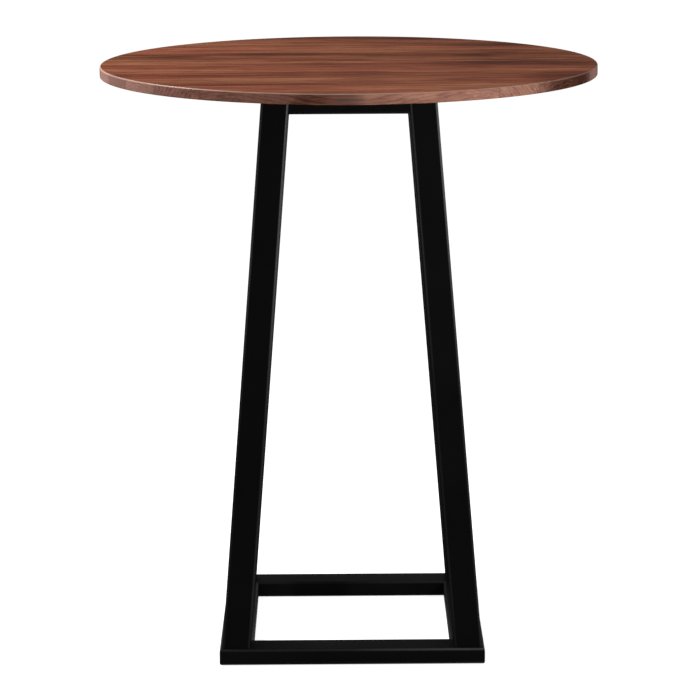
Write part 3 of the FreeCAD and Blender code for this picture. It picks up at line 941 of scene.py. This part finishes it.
def turnedForm(profile, steps, closed):
    # a solid of revolution about Z from pairs of radius and height
    form = bmesh.new()
    turns = [2 * math.pi * step / steps for step in range(steps)]
    rows = []
    for radius, height in profile:
        if radius == 0:
            rows.append([form.verts.new((0, 0, height))])
        else:
            points = [(radius * math.cos(t), radius * math.sin(t), height) for t in turns]
            rows.append([form.verts.new(point) for point in points])
    pairs = list(zip(rows, rows[1:]))
    if closed:
        pairs.append((rows[-1], rows[0]))
    for lower, upper in pairs:
        for step in range(steps):
            following = (step + 1) % steps
            above = [upper[0]] if len(upper) == 1 else [upper[following], upper[step]]
            form.faces.new([lower[step], lower[following], *above])
    bmesh.ops.recalc_face_normals(form, faces=form.faces)
    return form


def screwForm(spec):
    # button head below, and ridged thread above
    head, height, rounding = spec["headRadius"], spec["headHeight"], spec["headRound"]
    root = spec["threadRadius"] - spec["threadDepth"]
    profile = [(head - rounding, -height)]
    for step in range(1, spec["headSteps"] + 1):
        turn = math.radians(90 * step / spec["headSteps"])
        out, up = rounding * (1 - math.sin(turn)), rounding * (1 - math.cos(turn))
        profile.append((head - out, -height + up))
    profile += [(head, 0.0), (root, 0.0)]
    rise = 0.0
    while rise + spec["pitch"] < spec["length"]:
        profile.append((spec["threadRadius"], rise + spec["pitch"] / 2))
        rise += spec["pitch"]
        profile.append((root, rise))
    profile.append((spec["threadRadius"] - 2 * spec["threadDepth"], spec["length"]))
    profile.append((0.0, spec["length"]))
    form = turnedForm(profile, spec["sides"], False)
    sinkSocket(form, spec)
    return form


def sinkSocket(form, spec):
    # the round hole left in the head's face is bridged to a hexagon, and that is sunk
    form.verts.ensure_lookup_table()
    rim = [v for v in form.verts if abs(v.co.z + spec["headHeight"]) < closeEnough]
    rim.sort(key=lambda v: math.atan2(v.co.y, v.co.x))
    count = len(rim)
    perSide = count // 6
    levels = []
    for depth in (0.0, spec["socketDepth"]):
        row = []
        for number in range(count):
            side, part = divmod(number, perSide)
            a, b = math.radians(60 * side), math.radians(60 * (side + 1))
            share = part / perSide
            x = spec["socketRadius"] * (math.cos(a) * (1 - share) + math.cos(b) * share)
            y = spec["socketRadius"] * (math.sin(a) * (1 - share) + math.sin(b) * share)
            row.append(form.verts.new((x, y, -spec["headHeight"] + depth)))
        levels.append(row)
    first = min(range(count), key=lambda n: abs(math.atan2(rim[n].co.y, rim[n].co.x)))
    rim = rim[first:] + rim[:first]
    for outer, inner in ((rim, levels[0]), (levels[0], levels[1])):
        for number in range(count):
            following = (number + 1) % count
            form.faces.new((outer[number], outer[following], inner[following], inner[number]))
    form.faces.new(levels[1])
    bmesh.ops.recalc_face_normals(form, faces=form.faces)


def washerForm(spec):
    inner, outer = spec["inner"], spec["outer"]
    ease, thickness = spec["ease"], spec["thickness"]
    profile = [
        (inner, ease), (inner + ease, 0.0), (outer - ease, 0.0), (outer, ease),
        (outer, thickness - ease), (outer - ease, thickness),
        (inner + ease, thickness), (inner, thickness - ease),
    ]
    return turnedForm(profile, spec["sides"], True)


def insertForm(spec):
    valley = spec["outer"] - spec["ribs"]
    profile = [(spec["inner"], 0.0), (spec["outer"], 0.0)]
    height = 0.0
    while height + spec["ribPitch"] < spec["length"]:
        profile.append((valley, height + spec["ribPitch"] / 2))
        height += spec["ribPitch"]
        profile.append((spec["outer"], height))
    profile += [(valley, spec["length"]), (spec["inner"], spec["length"])]
    return turnedForm(profile, spec["sides"], True)


def makeSetTree():
    # one piece at every point of the object that the tree is on, turned as chance has it
    tree, given = newGroup("fastenerSet", (
        ("Geometry", "NodeSocketGeometry", None),
        ("Piece", "NodeSocketObject", None),
        ("Turn Seed", "NodeSocketInt", 3),
        ("Finish", "NodeSocketMaterial", None),
    ))
    one = addNode(tree, "GeometryNodeObjectInfo", Object=given["Piece"]).outputs["Geometry"]
    turn = addNode(
        tree, "FunctionNodeRandomValue", {"data_type": "FLOAT_VECTOR"},
        Min=(0.0, 0.0, 0.0), Max=(0.0, 0.0, math.tau), Seed=given["Turn Seed"],
    )
    placed = addNode(
        tree, "GeometryNodeInstanceOnPoints",
        Points=given["Geometry"], Instance=one, Rotation=turn,
    )
    placed = addNode(tree, "GeometryNodeRealizeInstances", Geometry=placed)
    placed = addNode(
        tree, "GeometryNodeSetMaterial", Geometry=placed, Material=given["Finish"]
    )
    addNode(tree, "NodeGroupOutput", Geometry=placed)
    return tree


def makeSet(name, node, slot, form, seat, material, seed):
    single = bpy.data.objects.new(f"{name}Single", formMesh(f"{name}Single", form))
    scene.collection.objects.link(single)
    values = {"Piece": single, "Turn Seed": seed, "Finish": material}
    points = [(x, y, seat) for x, y in fastening["places"]]
    mesh = grownMesh(name, setTree, values, points)
    bpy.data.objects.remove(single)
    piece = newPiece(name, mesh, material)
    cleanShading(piece)
    standFor(piece, slot, node)


setTree = makeSetTree()
for name, node, slot, form, spec, material, seed in (
    ("topScrews", "top_screws", "zinc_plated_steel", screwForm(screw), screw, zincMaterial, 3),
    ("screwWashers", "washers", "zinc_plated_steel", washerForm(washer), washer, zincMaterial, 5),
    ("threadedInserts", "threaded_inserts", "brass", insertForm(insert), insert, brassMaterial, 7),
):
    makeSet(name, node, slot, form, spec["seat"], material, seed)
print("screws, washers and inserts made")


# glides keep their solids and get the nylon

for corner in corners:
    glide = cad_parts[f"{corner}_glide"]
    glide.data.materials.clear()
    glide.data.materials.append(nylonMaterial)
print("glides finished")


# white floor, lamps and camera

studio = {
    "floorReach": 40.0,         # metres to each side
    "floorColour": "#f2f2f2",
    "floorGlow": 0.85,
    "worldStrength": 0.2,
}

white = (1.0, 1.0, 1.0, 1.0)


def seenByCamera(tree):
    # 1 for what the camera sees, also in a reflection or through something clear
    seen = addNode(tree, "ShaderNodeLightPath").outputs
    direct = addNode(
        tree, "ShaderNodeMath", largest, seen["Is Camera Ray"], seen["Is Glossy Ray"]
    )
    return addNode(tree, "ShaderNodeMath", largest, direct, seen["Is Transmission Ray"])


def makeStage(spec):
    material, tree = newMaterial("whitePaper")
    glow = addNode(tree, "ShaderNodeMath", times, seenByCamera(tree), spec["floorGlow"])
    lit = addNode(tree, "ShaderNodeBsdfDiffuse", Color=linearColour(spec["floorColour"]))
    glowing = addNode(tree, "ShaderNodeEmission", Color=white, Strength=glow)
    paper = addNode(tree, "ShaderNodeAddShader", None, lit, glowing)
    addNode(tree, "ShaderNodeOutputMaterial", Surface=paper)
    half = spec["floorReach"]
    outline = [(-half, -half, 0), (half, -half, 0), (half, half, 0), (-half, half, 0)]
    mesh = bpy.data.meshes.new("floor")
    mesh.from_pydata(outline, [], [(0, 1, 2, 3)])
    newPiece("floor", mesh, material)

    world = bpy.data.worlds.new("studio")
    scene.world = world
    world.use_nodes = True
    tree = world.node_tree
    tree.nodes.clear()
    strengths = (0.0, 1.0, spec["worldStrength"], 1.0)
    strength = addNode(tree, "ShaderNodeMapRange", None, seenByCamera(tree), *strengths)
    background = addNode(tree, "ShaderNodeBackground", Color=white, Strength=strength)
    addNode(tree, "ShaderNodeOutputWorld", Surface=background)


lamps = {
    # place, aim, width, height, power and spread in degrees of each lamp
    "leftSoftbox": ((-1.75, 0.15, 2.35), (-0.1, 0.0, 1.0), 0.6, 0.6, 46.0, 180),
    "rightStrip": ((1.12, -1.55, 0.93), (0.12, -0.2, 0.98), 0.06, 0.5, 5.0, 100),
    "overhead": ((0.2, 0.8, 3.4), (0.0, 0.0, 1.0), 1.6, 1.6, 7.0, 180),
}


def addLamps(specs):
    for name, (place, aim, width, height, power, spread) in specs.items():
        light = bpy.data.lights.new(name, "AREA")
        light.shape = "RECTANGLE"
        light.size = width
        light.size_y = height
        light.energy = power
        light.spread = math.radians(spread)
        lamp = bpy.data.objects.new(name, light)
        lamp.location = place
        towards = Vector(aim) - Vector(place)
        lamp.rotation_euler = towards.to_track_quat("-Z", "Y").to_euler()
        scene.collection.objects.link(lamp)


# camera found from the round top, the square ring and the legs together, for a square picture

view = {
    "lens": 149.38,             # mm, as the sensor
    "sensor": 36.0,
    "farthest": 200.0,
    "place": (-0.0217, -5.2547, 1.6713),
    "down": 12.233,             # degrees, as the two below
    "heading": -0.234,
    "roll": -0.311,
}


def addCamera(spec):
    data = bpy.data.cameras.new("camera")
    data.lens = spec["lens"]
    data.sensor_width = spec["sensor"]
    data.clip_end = spec["farthest"]
    camera = bpy.data.objects.new("camera", data)
    turned = Matrix.Rotation(math.radians(spec["heading"]), 4, "Z")
    tilted = Matrix.Rotation(math.radians(90 - spec["down"]), 4, "X")
    rolled = Matrix.Rotation(math.radians(spec["roll"]), 4, "Z")
    camera.matrix_world = Matrix.Translation(spec["place"]) @ turned @ tilted @ rolled
    scene.collection.objects.link(camera)
    scene.camera = camera


makeStage(studio)
addLamps(lamps)
addCamera(view)
print("stage, lamps and camera set")
